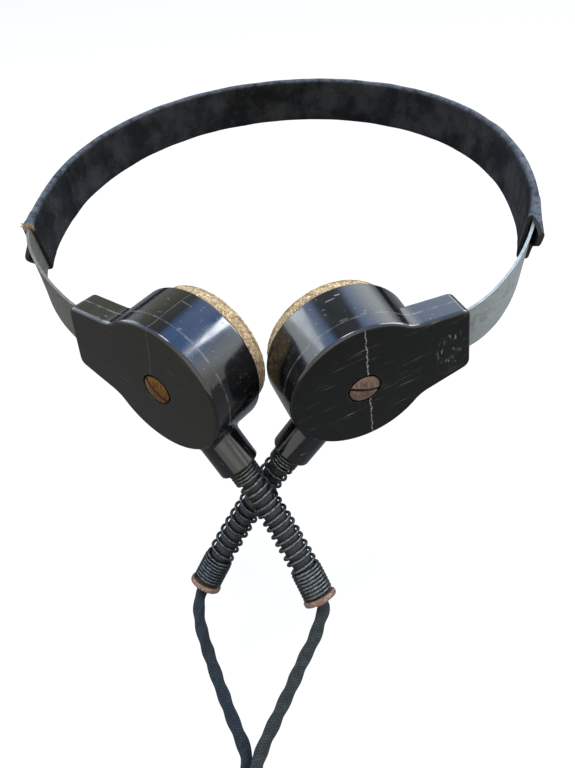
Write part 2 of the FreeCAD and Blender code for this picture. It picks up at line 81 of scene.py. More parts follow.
CORD = {
    "left": [(16.6, -49.8, -64.3), (14.7, -54.5, -65.9), (11.1, -60.6, -68.1), (5.5, -70.3, -72.0),
             (0.8, -78.3, -74.8), (-2.6, -84.4, -76.2), (-5.2, -90.2, -78.4), (-6.2, -95.0, -83.0),
             (-7.0, -98.2, -86.6)],
    "right": [(-29.3, -41.4, -76.2), (-28.2, -47.1, -76.4), (-25.2, -54.9, -77.0),
              (-20.0, -66.0, -78.2), (-15.2, -75.5, -79.4), (-11.8, -81.8, -80.6),
              (-9.4, -87.2, -82.6), (-9.4, -92.4, -86.4), (-9.8, -95.6, -89.8)],
}
TRUNK = [(-8.4, -98.9, -89.8), (-9.8, -112.0, -104.0), (-10.7, -119.6, -112.4), (-13.026, -139.239, -134.106)]


def spline(points, n):
    """Natural cubic spline by chord length, resampled to n even stations."""
    P = np.array(points, float)
    t = np.r_[0, np.cumsum(np.linalg.norm(np.diff(P, axis=0), axis=1))]
    h = np.diff(t)
    N = len(P)
    A = np.zeros((N, N)); B = np.zeros((N, P.shape[1]))
    A[0, 0] = A[-1, -1] = 1
    for i in range(1, N - 1):
        A[i, i - 1], A[i, i], A[i, i + 1] = h[i - 1], 2 * (h[i - 1] + h[i]), h[i]
        B[i] = 6 * ((P[i + 1] - P[i]) / h[i] - (P[i] - P[i - 1]) / h[i - 1])
    M = np.linalg.solve(A, B)
    def ev(s):
        i = np.clip(np.searchsorted(t, s, side="right") - 1, 0, N - 2)
        a = (t[i + 1] - s)[:, None]; b = (s - t[i])[:, None]; hh = h[i][:, None]
        return (M[i] * a ** 3 + M[i + 1] * b ** 3) / (6 * hh) + \
               (P[i] / hh - M[i] * hh / 6) * a + (P[i + 1] / hh - M[i + 1] * hh / 6) * b
    s = np.linspace(0, t[-1], 2000)
    Q = ev(s)
    L = np.r_[0, np.cumsum(np.linalg.norm(np.diff(Q, axis=0), axis=1))]
    s2 = np.interp(np.linspace(0, L[-1], n), L, s)
    return ev(s2), L[-1]


def tangents(P):
    T = np.gradient(P, axis=0)
    return T / np.linalg.norm(T, axis=1)[:, None]


def carried_frames(P):
    """Rotation-minimising frames along a path."""
    T = tangents(P)
    a = np.array([0.3, 0.2, 1.0])
    e = a - T[0] * (a @ T[0]); e /= np.linalg.norm(e)
    E = [e]
    for i in range(1, len(P)):
        e = E[-1] - T[i] * (E[-1] @ T[i]); e /= np.linalg.norm(e)
        E.append(e)
    E = np.array(E)
    return T, E, np.cross(T, E)


def mesh_object(name, verts, faces, smooth=True, uvs=None, sharp_deg=None):
    me = bpy.data.meshes.new(name)
    me.from_pydata([tuple(v) for v in (np.array(verts) * MM)], [], faces)
    if uvs is not None:
        layer = me.uv_layers.new(name="UVMap")
        for poly in me.polygons:
            cols = [uvs[me.loops[li].vertex_index] for li in poly.loop_indices]
            vs = [c[1] for c in cols]
            wrap = max(vs) - min(vs) > 0.5
            for li, c in zip(poly.loop_indices, cols):
                layer.data[li].uv = (c[0], c[1] + 1.0 if wrap and c[1] < 0.5 else c[1])
    me.polygons.foreach_set("use_smooth", [smooth] * len(me.polygons))
    if sharp_deg and hasattr(me, "set_sharp_from_angle"):
        me.set_sharp_from_angle(angle=math.radians(sharp_deg))
    me.validate()
    ob = bpy.data.objects.new(name, me)
    bpy.context.scene.collection.objects.link(ob)
    return ob


def grid_faces(n, k, flip=False, close=False, off=0):
    out = []
    rows = n if close else n - 1
    for i in range(rows):
        a = (i % n) * k + off; b = ((i + 1) % n) * k + off
        for j in range(k):
            j2 = (j + 1) % k
            f = (a + j, a + j2, b + j2, b + j)
            out.append(f[::-1] if flip else f)
    return out


def tube(name, P, radius_fn, sides=16, uv_scale=1.0, frames=None):
    """Closed tube along P. radius_fn(i, s, angle) gives the radius in mm."""
    P = np.array(P)
    T, E, F = frames or carried_frames(P)
    s = np.r_[0, np.cumsum(np.linalg.norm(np.diff(P, axis=0), axis=1))]
    verts, uvs = [], []
    for i in range(len(P)):
        for j in range(sides):
            a = 2 * math.pi * j / sides
            r = radius_fn(i, s[i], a)
            verts.append(P[i] + (E[i] * math.cos(a) + F[i] * math.sin(a)) * r)
            uvs.append((s[i] * uv_scale, j / sides))
    faces = grid_faces(len(P), sides)
    c0 = len(verts); verts.append(P[0]); uvs.append((0, 0.5))
    c1 = len(verts); verts.append(P[-1]); uvs.append((s[-1] * uv_scale, 0.5))
    last = (len(P) - 1) * sides
    for j in range(sides):
        j2 = (j + 1) % sides
        faces.append((c0, j2, j))
        faces.append((c1, last + j, last + j2))
    return mesh_object(name, verts, faces, uvs=uvs, sharp_deg=50)


def bezier_track(side):
    c = np.array(REC[side]["ctrl"])
    t = np.linspace(0, 1, 401)[:, None]
    P = (1 - t) ** 3 * c[0] + 3 * (1 - t) ** 2 * t * c[1] + 3 * (1 - t) * t * t * c[2] + t ** 3 * c[3]
    s = np.r_[0, np.cumsum(np.linalg.norm(np.diff(P, axis=0), axis=1))]
    u = np.array(REC[side]["u"]); e = np.array(REC[side]["end"])
    u /= np.linalg.norm(u); e /= np.linalg.norm(e)
    L = s[-1]
    def at(q):
        q = np.atleast_1d(np.array(q, float))
        R = np.stack([np.interp(q, s, P[:, k]) for k in range(3)], 1)
        R = np.where((q < 0)[:, None], c[0] + u * q[:, None], R)
        R = np.where((q > L)[:, None], c[3] + e * (q - L)[:, None], R)
        return R
    return at, L, u, e


# ------------------------------------------------------------------ materials
class Tree:
    def __init__(self, name):
        self.mat = bpy.data.materials.new(name)
        self.mat.use_nodes = True
        self.nt = self.mat.node_tree
        self.nt.nodes.clear()
        self.out = self.nt.nodes.new("ShaderNodeOutputMaterial")
        self.bsdf = self.nt.nodes.new("ShaderNodeBsdfPrincipled")
        self.nt.links.new(self.bsdf.outputs[0], self.out.inputs[0])

    def put(self, sock, val):
        if val is None:
            return
        if isinstance(val, bpy.types.NodeSocket):
            self.nt.links.new(val, sock)
        else:
            if hasattr(sock, "default_value"):
                try:
                    sock.default_value = val
                except Exception:
                    sock.default_value = (*val, 1.0) if len(val) == 3 else val

    def set(self, **kw):
        for k, v in kw.items():
            self.put(self.bsdf.inputs[k.replace("_", " ")], v)

    def math(self, op, a, b=None, c=None, clamp=False):
        n = self.nt.nodes.new("ShaderNodeMath"); n.operation = op; n.use_clamp = clamp
        self.put(n.inputs[0], a)
        if b is not None: self.put(n.inputs[1], b)
        if c is not None: self.put(n.inputs[2], c)
        return n.outputs[0]

    def vmath(self, op, a, b=None):
        n = self.nt.nodes.new("ShaderNodeVectorMath"); n.operation = op
        self.put(n.inputs[0], a)
        if b is not None: self.put(n.inputs[1], b)
        return n.outputs["Value"] if op in ("DOT_PRODUCT", "LENGTH", "DISTANCE") else n.outputs[0]

    def scale(self, v, k):
        n = self.nt.nodes.new("ShaderNodeVectorMath"); n.operation = "SCALE"
        self.put(n.inputs[0], v); n.inputs["Scale"].default_value = k
        return n.outputs[0]

    def coord(self, kind="Object"):
        n = self.nt.nodes.new("ShaderNodeTexCoord")
        return n.outputs[kind]

    def mm(self):
        """Object coordinates in millimetres."""
        return self.scale(self.coord("Object"), 1000.0)

    def xyz(self, v):
        n = self.nt.nodes.new("ShaderNodeSeparateXYZ"); self.put(n.inputs[0], v)
        return n.outputs

    def comb(self, x, y, z):
        n = self.nt.nodes.new("ShaderNodeCombineXYZ")
        self.put(n.inputs[0], x); self.put(n.inputs[1], y); self.put(n.inputs[2], z)
        return n.outputs[0]

    def mapping(self, v, scale=(1, 1, 1), rot=(0, 0, 0), loc=(0, 0, 0)):
        n = self.nt.nodes.new("ShaderNodeMapping")
        self.put(n.inputs["Vector"], v)
        n.inputs["Scale"].default_value = scale
        n.inputs["Rotation"].default_value = rot
        n.inputs["Location"].default_value = loc
        return n.outputs[0]

    def noise(self, v, scale, detail=3.0, rough=0.5, dist=0.0):
        n = self.nt.nodes.new("ShaderNodeTexNoise")
        self.put(n.inputs["Vector"], v)
        n.inputs["Scale"].default_value = scale
        n.inputs["Detail"].default_value = detail
        n.inputs["Roughness"].default_value = rough
        n.inputs["Distortion"].default_value = dist
        return n.outputs[0]

    def voronoi(self, v, scale, feature="F1", out="Distance", rnd=1.0):
        n = self.nt.nodes.new("ShaderNodeTexVoronoi"); n.feature = feature
        self.put(n.inputs["Vector"], v)
        n.inputs["Scale"].default_value = scale
        n.inputs["Randomness"].default_value = rnd
        return n.outputs[out]

    def ramp(self, v, lo, hi, a=0.0, b=1.0, smooth=True):
        n = self.nt.nodes.new("ShaderNodeMapRange")
        n.interpolation_type = "SMOOTHSTEP" if smooth else "LINEAR"
        self.put(n.inputs["Value"], v)
        n.inputs["From Min"].default_value = lo; n.inputs["From Max"].default_value = hi
        n.inputs["To Min"].default_value = a; n.inputs["To Max"].default_value = b
        return n.outputs[0]

    def mix(self, f, a, b):
        n = self.nt.nodes.new("ShaderNodeMix"); n.data_type = "RGBA"
        self.put(n.inputs["Factor"], f)
        for sock, v in ((n.inputs[6], a), (n.inputs[7], b)):
            if isinstance(v, bpy.types.NodeSocket): self.nt.links.new(v, sock)
            else: sock.default_value = (*v, 1.0)
        return n.outputs[2]

    def fmix(self, f, a, b):
        n = self.nt.nodes.new("ShaderNodeMix"); n.data_type = "FLOAT"
        self.put(n.inputs["Factor"], f)
        self.put(n.inputs[2], a); self.put(n.inputs[3], b)
        return n.outputs[0]

    def bump(self, h, strength=0.3, dist=0.0002, normal=None):
        n = self.nt.nodes.new("ShaderNodeBump")
        self.put(n.inputs["Height"], h)
        n.inputs["Strength"].default_value = strength
        n.inputs["Distance"].default_value = dist
        if normal is not None: self.put(n.inputs["Normal"], normal)
        return n.outputs[0]

    def edge(self, radius=0.5):
        """1 near convex edges, from the difference a bevelled normal makes."""
        b = self.nt.nodes.new("ShaderNodeBevel"); b.samples = 4
        b.inputs["Radius"].default_value = radius * MM
        g = self.nt.nodes.new("ShaderNodeNewGeometry")
        d = self.vmath("DOT_PRODUCT", b.outputs[0], g.outputs["Normal"])
        return self.ramp(d, 0.985, 0.90)

    def scratches(self, v, seed=0.0, sets=3, fine=1.0, keep=0.70):
        """Thin straight marks in several directions."""
        total = None
        for i in range(sets):
            ang = 0.5 + 1.17 * i + seed
            q = self.mapping(v, scale=(0.05 * fine, 2.6 * fine, 0.9 * fine), rot=(ang * 0.7, 0.4 * i, ang),
                             loc=(seed * 3 + i * 7, i * 3, seed))
            n = self.noise(q, 1.0, 2.0, 0.4)
            m = self.ramp(n, keep, keep + 0.035)
            total = m if total is None else self.math("MAXIMUM", total, m)
        return total


def local_coords(t, side):
    r = REC[side]
    d = t.vmath("SUBTRACT", t.mm(), tuple(r["c"]))
    return [t.vmath("DOT_PRODUCT", d, tuple(r[k])) for k in "xyz"]


def bakelite(side, cap=False):
    t = Tree("bakelite_" + side + ("_cap" if cap else ""))
    x, y, z = local_coords(t, side)
    v = t.comb(x, y, z)
    rear = t.ramp(z, 0.30, 0.06)
    sc = t.scratches(v, seed=1.3 if side == "left" else 4.1, keep=0.715)
    fine = t.scratches(v, seed=2.2, sets=2, fine=2.4, keep=0.70)
    smudge = t.noise(v, 0.09, 4.0, 0.6)
    grain = t.noise(v, 2.2, 3.0, 0.6)
    patch = t.noise(v, 0.22, 5.0, 0.65)
    rear_col = (0.0155, 0.0150, 0.0112) if side == "left" else (0.0055, 0.0056, 0.0054)
    col = t.mix(rear, (0.0030, 0.0031, 0.0034), rear_col)
    col = t.mix(t.ramp(patch, 0.50, 0.78, 0.0, 0.45), col, (0.017, 0.016, 0.014))
    # pale rubbed scratches, more of them on the right receiver's rear face
    amount = 0.30 if side == "left" else 0.55
    col = t.mix(t.math("MULTIPLY", sc, t.ramp(smudge, 0.40, 0.65, 0.05, amount)), col, (0.26, 0.26, 0.25))
    dust = t.ramp(t.noise(v, 4.2, 2.0, 0.5), 0.735, 0.78)
    col = t.mix(t.math("MULTIPLY", dust, t.ramp(patch, 0.5, 0.7, 0.0, 0.5)), col, (0.25, 0.25, 0.24))
    edge = t.edge(0.45)
    wear = t.math("MULTIPLY", edge, t.ramp(t.noise(v, 0.8, 4.0, 0.7), 0.42, 0.62, 0.12, 0.75))
    col = t.mix(wear, col, (0.085, 0.080, 0.072))
    # parting line: a hair groove round the whole case, with a pale painted highlight along its lip, broken up by noise
    w = t.noise(v, 0.5, 2.0, 0.5)
    dz = t.math("ABSOLUTE", t.math("SUBTRACT", z, t.math("MULTIPLY_ADD", w, 0.06, 5.72)))
    line = t.ramp(dz, 0.13, 0.05)
    parting_lip_highlight = t.math("MULTIPLY", t.ramp(dz, 0.34, 0.16), t.ramp(t.noise(v, 0.22, 3.0, 0.6), 0.38, 0.62, 0.10, 0.95))
    # painted highlight: pale band along the parting lip
    col = t.mix(t.math("MULTIPLY", parting_lip_highlight, 0.75), col, (0.19, 0.18, 0.155))
    col = t.mix(line, col, (0.003, 0.003, 0.003))
    height = t.math("MULTIPLY", line, -1.0)
    height = t.math("ADD", height, t.math("MULTIPLY", sc, -0.16))
    height = t.math("ADD", height, t.math("MULTIPLY", grain, 0.035))
    if side == "left":
        ca, sa = math.cos(math.radians(96.0)), math.sin(math.radians(96.0))
        across = t.math("ADD", t.math("MULTIPLY", x, -sa), t.math("MULTIPLY", y, ca))
        along_ = t.math("ADD", t.math("MULTIPLY", x, ca), t.math("MULTIPLY", y, sa))
        bow = t.math("MULTIPLY", t.math("MULTIPLY", along_, along_), 0.004)
        wob = t.math("MULTIPLY", t.math("SUBTRACT", t.noise(v, 0.16, 2.0, 0.5), 0.5), 1.6)
        d = t.math("ABSOLUTE", t.math("ADD", t.math("ADD", across, wob), t.math("ADD", bow, 2.6)))
        line2 = t.math("MULTIPLY", t.ramp(d, 0.15, 0.04), t.ramp(along_, 3.0, 7.0))
        line2 = t.math("MULTIPLY", line2, t.ramp(t.noise(v, 0.6, 2.0, 0.6), 0.34, 0.55, 0.25, 0.9))
        col = t.mix(t.math("MULTIPLY", line2, 0.65), col, (0.15, 0.125, 0.085))
    if side == "right":
        # old hairline crack across the rear face through the cover screw
        ca, sa = math.cos(math.radians(CRACK_DEG)), math.sin(math.radians(CRACK_DEG))
        across = t.math("ADD", t.math("MULTIPLY", x, -sa), t.math("MULTIPLY", y, ca))
        wob = t.math("MULTIPLY", t.math("SUBTRACT", t.noise(v, 0.35, 4.0, 0.6), 0.5), 2.2)
        d = t.math("ABSOLUTE", t.math("ADD", across, t.math("ADD", wob, 1.6)))
        crack = t.math("MULTIPLY", t.ramp(d, 0.26, 0.05), t.ramp(t.noise(v, 0.9, 3.0, 0.7), 0.36, 0.55, 0.15, 0.95))
        crack = t.math("MULTIPLY", crack, rear)
        col = t.mix(crack, col, (0.33, 0.33, 0.31))
        # rubbed flecks near the end of the neck
        ex = t.math("DIVIDE", t.math("SUBTRACT", x, 31.0), 6.5)
        ey = t.math("DIVIDE", t.math("ADD", y, 1.0), 9.0)
        rr = t.math("ADD", t.math("MULTIPLY", ex, ex), t.math("MULTIPLY", ey, ey))
        zone = t.math("MULTIPLY", t.ramp(rr, 1.1, 0.25), t.ramp(t.noise(v, 0.32, 2.0, 0.5), 0.46, 0.56))
        fleck = t.ramp(t.noise(t.mapping(v, scale=(1.3, 0.22, 1.0), rot=(0, 0, 0.9)), 1.05, 5.0, 0.8), 0.55, 0.63)
        fl = t.math("MULTIPLY", t.math("MULTIPLY", fleck, zone), rear)
        col = t.mix(t.math("MULTIPLY", fl, 0.75), col, (0.42, 0.43, 0.42))
        height = t.math("ADD", height, t.math("MULTIPLY", crack, -0.3))
    rough = t.fmix(rear, t.ramp(smudge, 0.35, 0.70, 0.09, 0.24), t.ramp(grain, 0.3, 0.7, 0.40, 0.52))
    rough = t.math("ADD", rough, t.math("MULTIPLY", sc, 0.22), clamp=True)
    rough = t.math("ADD", rough, t.math("MULTIPLY", fine, 0.05), clamp=True)
    t.set(Base_Color=col, Roughness=rough, Normal=t.bump(height, 0.55, 0.0002))
    t.put(t.bsdf.inputs["Specular IOR Level"], t.fmix(rear, 0.50, 0.24 if side == "left" else 0.22))
    t.put(t.bsdf.inputs["Coat Weight"], t.fmix(rear, 0.30, 0.0))
    t.put(t.bsdf.inputs["Coat Roughness"], 0.08)
    return t.mat


def metal(name, base, tint, rust, rough=(0.3, 0.55), rust_at=0.60, grain_dir=(0.06, 2.5, 2.5), metallic=1.0,
          local=None):
    t = Tree(name)
    v = t.comb(*local_coords(t, local)) if local else t.mm()
    brushed = t.noise(t.mapping(v, scale=grain_dir), 1.0, 4.0, 0.6)
    big = t.noise(v, 0.16, 5.0, 0.65)
    spots = t.noise(v, 0.9, 5.0, 0.7)
    sc = t.scratches(v, seed=0.7, sets=3, fine=1.3, keep=0.70)
    col = t.mix(t.ramp(brushed, 0.3, 0.7), base, tint)
    corr = t.math("MAXIMUM", t.math("MULTIPLY", t.ramp(spots, rust_at, rust_at + 0.08), 0.9),
                  t.ramp(big, 0.52, 0.72, 0.0, 0.55))
    col = t.mix(corr, col, rust)
    col = t.mix(t.math("MULTIPLY", sc, 0.35), col, tuple(min(1.0, c * 1.7 + 0.05) for c in tint))
    edge = t.edge(0.35)
    col = t.mix(t.math("MULTIPLY", edge, 0.45), col, tuple(min(1.0, c * 1.5 + 0.04) for c in tint))
    r = t.math("ADD", t.ramp(brushed, 0.3, 0.7, rough[0], rough[1]), t.math("MULTIPLY", corr, 0.25), clamp=True)
    t.set(Base_Color=col, Roughness=r, Metallic=t.ramp(corr, 0.2, 0.9, metallic, metallic * 0.25))
    if local:
        # painted shade: a dark ring round the cover screw head where the gap of its recess is; below the head the screw
        # is darkened too, with dirt in the slot, less on the right screw, whose slot catches light
        q = local_coords(t, local)
        rad = t.math("SQRT", t.math("ADD", t.math("MULTIPLY", q[0], q[0]), t.math("MULTIPLY", q[1], q[1])))
        rim = t.ramp(t.math("ADD", rad, t.math("MULTIPLY", t.noise(v, 0.7, 3.0, 0.6), 0.5)), 5.15, 5.55)
        deep = t.math("MULTIPLY", t.ramp(q[2], -0.05, 0.30), 0.92 if local == "left" else 0.72)
        rim = t.math("MAXIMUM", t.math("MULTIPLY", rim, 0.93), deep)
        dark = t.mix(rim, col, (0.012, 0.008, 0.005))
        t.set(Base_Color=dark)
    h = t.math("ADD", t.math("MULTIPLY", brushed, 0.5), t.math("MULTIPLY", corr, 0.6))
    t.set(Normal=t.bump(h, 0.35, 0.00012))
    return t.mat


def cork():
    t = Tree("pad_composition")
    v = t.mm()
    cells = t.voronoi(v, 0.95, "F1", "Color")
    cv = t.xyz(cells)[0]
    dist = t.voronoi(v, 0.95, "DISTANCE_TO_EDGE", "Distance")
    small = t.noise(v, 3.0, 5.0, 0.7)
    big = t.noise(v, 0.18, 3.0, 0.5)
    col = t.mix(cv, (0.24, 0.135, 0.045), (0.66, 0.47, 0.21))
    col = t.mix(t.ramp(small, 0.42, 0.68, 0.0, 0.6), col, (0.80, 0.62, 0.34))
    dark = t.ramp(t.noise(v, 0.9, 4.0, 0.78), 0.535, 0.60)
    col = t.mix(t.math("MULTIPLY", dark, 0.85), col, (0.065, 0.036, 0.016))
    col = t.mix(t.ramp(dist, 0.14, 0.0, 0.0, 0.75), col, (0.075, 0.040, 0.014))
    col = t.mix(t.ramp(big, 0.4, 0.7, 0.0, 0.35), col, (0.30, 0.22, 0.13))
    h = t.math("ADD", t.math("MULTIPLY", t.ramp(dist, 0.0, 0.2), 0.5), small)
    t.set(Base_Color=col, Roughness=t.ramp(small, 0.3, 0.7, 0.68, 0.92), Normal=t.bump(h, 0.75, 0.0004))
    t.put(t.bsdf.inputs["Sheen Weight"], 0.15)
    return t.mat


def leather():
    t = Tree("sleeve_leather")
    v = t.mm()
    grain = t.voronoi(v, 1.55, "DISTANCE_TO_EDGE", "Distance")
    fineg = t.voronoi(v, 3.4, "DISTANCE_TO_EDGE", "Distance")
    crease = t.noise(t.mapping(v, scale=(1, 1, 0.25)), 0.55, 6.0, 0.7, 0.6)
    big = t.noise(v, 0.055, 5.0, 0.6)
    z = t.xyz(v)[2]
    col = t.mix(t.ramp(big, 0.35, 0.68), (0.0022, 0.0024, 0.0027), (0.0062, 0.0076, 0.0096))
    col = t.mix(t.ramp(crease, 0.50, 0.72, 0.0, 0.5), col, (0.018, 0.021, 0.026))
    # the rims are rubbed, and carry a painted blue-grey sky reflection, strongest on the upper rim
    rim = t.math("MAXIMUM", t.ramp(z, 8.4, 9.9), t.ramp(z, -9.0, -9.9, 0.0, 0.6))
    rim_rub_and_sky_reflection = t.math("MULTIPLY", rim, t.ramp(t.noise(v, 0.30, 5.0, 0.7), 0.35, 0.62, 0.10, 0.95))
    col = t.mix(rim_rub_and_sky_reflection, col, (0.075, 0.088, 0.104))
    sc = t.scratches(v, seed=5.0, sets=3, fine=0.8, keep=0.72)
    col = t.mix(t.math("MULTIPLY", sc, 0.35), col, (0.07, 0.077, 0.085))
    spot = t.ramp(t.noise(v, 0.75, 4.0, 0.75), 0.68, 0.74, 0.0, 0.4)
    col = t.mix(spot, col, (0.13, 0.115, 0.095))
    h = t.math("ADD", t.math("MULTIPLY", t.ramp(grain, 0.0, 0.25), 0.6), t.math("MULTIPLY", t.ramp(fineg, 0.0, 0.2), 0.25))
    h = t.math("ADD", h, t.math("MULTIPLY", crease, 0.9))
    t.put(t.bsdf.inputs["Specular IOR Level"], t.ramp(t.noise(v, 0.07, 4.0, 0.6), 0.38, 0.66, 0.10, 0.42))
    t.set(Base_Color=col, Roughness=t.ramp(crease, 0.3, 0.7, 0.45, 0.70), Normal=t.bump(h, 0.6, 0.00035))
    return t.mat


def raw_hide():
    t = Tree("sleeve_cut_edge")
    v = t.mm()
    fib = t.noise(t.mapping(v, scale=(3, 3, 0.8)), 1.2, 5.0, 0.7)
    q = t.xyz(v)
    corner = t.math("MULTIPLY", t.ramp(q[2], 6.4, 8.8), t.ramp(q[0], 0.0, -10.0))
    tan = t.mix(fib, (0.16, 0.10, 0.055), (0.46, 0.34, 0.21))
    col = t.mix(corner, t.mix(fib, (0.006, 0.006, 0.006), (0.022, 0.020, 0.019)), tan)
    t.set(Base_Color=col, Roughness=0.85, Normal=t.bump(fib, 0.7, 0.0003))
    return t.mat


def braid(name="cord_braid", tone=(1.0, 1.0, 1.0)):
    t = Tree(name)
    uv = t.coord("UV")
    c = t.xyz(uv)
    s, a = c[0], c[1]
    k = 9.0
    # two sets of strands crossing: each strand runs round the cord and along it
    p1 = t.math("SINE", t.math("MULTIPLY", t.math("ADD", t.math("MULTIPLY", s, 1.05), t.math("MULTIPLY", a, k)), 2 * math.pi))
    p2 = t.math("SINE", t.math("MULTIPLY", t.math("SUBTRACT", t.math("MULTIPLY", s, 1.05), t.math("MULTIPLY", a, k)), 2 * math.pi))
    over = t.math("MAXIMUM", p1, p2)
    h = t.ramp(over, -0.4, 1.0)
    v = t.mm()
    fuzz = t.noise(v, 4.5, 5.0, 0.8)
    big = t.noise(v, 0.16, 5.0, 0.7)
    mid = t.noise(v, 0.55, 4.0, 0.65)
    lo = tuple(x * k2 for x, k2 in zip((0.0035, 0.0052, 0.0060), tone)); hi = tuple(x * k2 for x, k2 in zip((0.034, 0.044, 0.043), tone))
    # painted shade: the strands' crowns are lighter and the hollows between them darker
    col = t.mix(t.math("MULTIPLY", h, t.ramp(mid, 0.3, 0.75, 0.25, 0.9)), lo, hi)
    col = t.mix(t.ramp(big, 0.42, 0.68, 0.0, 0.75), col, tuple(x * k2 for x, k2 in zip((0.006, 0.0105, 0.0125), tone)))
    col = t.mix(t.math("MULTIPLY", t.ramp(fuzz, 0.58, 0.78, 0.0, 0.65), t.ramp(mid, 0.40, 0.62, 0.25, 1.0)), col, tuple(x * k2 for x, k2 in zip((0.105, 0.122, 0.117), tone)))
    hh = t.math("ADD", h, t.math("MULTIPLY", fuzz, 0.7))
    t.set(Base_Color=col, Roughness=t.ramp(fuzz, 0.3, 0.7, 0.70, 0.95), Normal=t.bump(hh, 0.85, 0.00035))
    t.put(t.bsdf.inputs["Sheen Weight"], 0.05)
    t.put(t.bsdf.inputs["Specular IOR Level"], 0.25)
    t.put(t.bsdf.inputs["Sheen Roughness"], 0.5)
    return t.mat


def simple(name, a, b, rough=(0.4, 0.7), scale=1.5, metallic=0.0, bump=0.3):
    t = Tree(name)
    v = t.mm()
    n = t.noise(v, scale, 5.0, 0.65)
    m = t.noise(v, scale * 0.2, 4.0, 0.6)
    col = t.mix(n, a, b)
    col = t.mix(t.ramp(m, 0.45, 0.7, 0.0, 0.4), col, tuple(x * 0.55 for x in a))
    t.set(Base_Color=col, Roughness=t.ramp(n, 0.3, 0.7, rough[0], rough[1]), Metallic=metallic,
          Normal=t.bump(n, bump, 0.00015))
    return t.mat


def coil_wire():
    t = Tree("coil_wire")
    v = t.mm()
    z = t.xyz(t.comb(*local_coords(t, "left")))[2]
    turns = t.math("SINE", t.math("MULTIPLY", z, 2 * math.pi / 0.22))
    n = t.noise(v, 1.8, 3.0, 0.5)
    # painted shade: the wire is darker in the grooves between turns and lighter on their crowns
    col = t.mix(t.ramp(turns, -1, 1), (0.16, 0.045, 0.015), (0.50, 0.19, 0.07))
    col = t.mix(t.ramp(n, 0.5, 0.8, 0.0, 0.4), col, (0.25, 0.08, 0.02))
    t.set(Base_Color=col, Roughness=0.32, Metallic=0.7, Normal=t.bump(turns, 0.6, 0.0001))
    return t.mat


CRACK_DEG = 85.0
MAT = {s: bakelite(s) for s in ("left", "right")}
M_SCREW = {
    "left": metal("screw_bronze", (0.20, 0.085, 0.022), (0.36, 0.175, 0.055), (0.09, 0.036, 0.012), (0.34, 0.52),
                  0.63, (1.6, 0.5, 1.0), local="left"),
    "right": metal("screw_copper", (0.27, 0.165, 0.115), (0.46, 0.33, 0.25), (0.16, 0.080, 0.050), (0.32, 0.50),
                   0.64, (1.6, 0.5, 1.0), local="right"),
}
M_STRIP = {
    "left": metal("strip_steel_left", (0.085, 0.082, 0.064), (0.14, 0.137, 0.115), (0.045, 0.038, 0.027), (0.42, 0.62),
                  0.58, (0.12, 0.12, 2.2), metallic=0.35),
    "right": metal("strip_steel_right", (0.215, 0.240, 0.232), (0.32, 0.350, 0.340), (0.105, 0.102, 0.088), (0.40, 0.60),
                   0.60, (0.12, 0.12, 2.2), metallic=0.30),
}
M_SPRING = {
    "left": metal("spring_wire_left", (0.042, 0.044, 0.041), (0.135, 0.146, 0.142), (0.052, 0.037, 0.027), (0.26, 0.48),
                  0.57, (1.2, 1.2, 1.2)),
    "right": metal("spring_wire_right", (0.022, 0.024, 0.026), (0.090, 0.102, 0.106), (0.028, 0.022, 0.019), (0.22, 0.42),
                   0.62, (1.2, 1.2, 1.2)),
}
M_FERRULE = metal("ferrule_copper_rust", (0.17, 0.095, 0.066), (0.34, 0.225, 0.170), (0.070, 0.038, 0.025), (0.42, 0.62),
                  0.50, (1.5, 1.5, 1.5), metallic=0.75)
M_IRON = metal("iron_plain", (0.20, 0.20, 0.20), (0.34, 0.34, 0.34), (0.10, 0.07, 0.05), (0.35, 0.55))
M_MAGNET = metal("magnet_steel", (0.18, 0.18, 0.19), (0.30, 0.30, 0.32), (0.08, 0.07, 0.06), (0.30, 0.50))
M_BRASS = metal("brass_fitting", (0.50, 0.34, 0.12), (0.66, 0.48, 0.20), (0.20, 0.12, 0.05), (0.25, 0.45))
M_PAD = cork()
M_LEATHER = leather()
M_HIDE = raw_hide()
M_BRAID = {"left": braid("cord_braid_left", (1.35, 1.30, 1.15)), "right": braid("cord_braid_right", (0.60, 0.88, 1.10))}
M_TUBE = simple("relief_tube_rubber", (0.003, 0.003, 0.003), (0.010, 0.0105, 0.011), (0.45, 0.70), 1.4)
M_FIBRE = simple("terminal_fibre", (0.20, 0.065, 0.03), (0.34, 0.12, 0.055), (0.5, 0.75), 1.2)
M_DIA = simple("diaphragm_lacquer", (0.02, 0.02, 0.022), (0.07, 0.07, 0.075), (0.22, 0.4), 0.9, 0.6)
M_COIL = coil_wire()
M_THREAD = simple("whipping_thread", (0.035, 0.034, 0.030), (0.12, 0.115, 0.10), (0.7, 0.9), 3.0)


def dress(node, mat):
    ob = bpy.data.objects.get(node)
    info = frame["nodes"][node] if isinstance(frame["nodes"], dict) and node in frame["nodes"] else None
    if ob is None and info is not None and isinstance(info, bpy.types.Object):
        ob = info
    me = ob.data
    if not me.materials:
        me.materials.append(mat)
    for i in range(len(me.materials)):
        me.materials[i] = mat


for side in ("left", "right"):
    for n in ("rear_cover", "front_case", "front_cap"):
        dress(side + "_" + n, MAT[side])
    dress(side + "_cover_screw", M_SCREW[side])
    dress(side + "_spring_strip", M_STRIP[side])
    dress(side + "_ferrule", M_FERRULE)
    dress(side + "_magnet", M_MAGNET)
    dress(side + "_pole_pieces", M_IRON)
    dress(side + "_strip_rivets", M_IRON)
    dress(side + "_coils", M_COIL)
    dress(side + "_diaphragm", M_DIA)
    dress(side + "_terminal_block", M_FIBRE)
    dress(side + "_terminal_screws", M_BRASS)
    dress(side + "_cover_insert", M_BRASS)
    dress(side + "_cord_inlet", M_BRAID[side])
dress("band_spring_centre", M_STRIP["left"])
dress("cord_junction", M_TUBE)


def vec(p):
    return tuple(float(q) * MM for q in p)


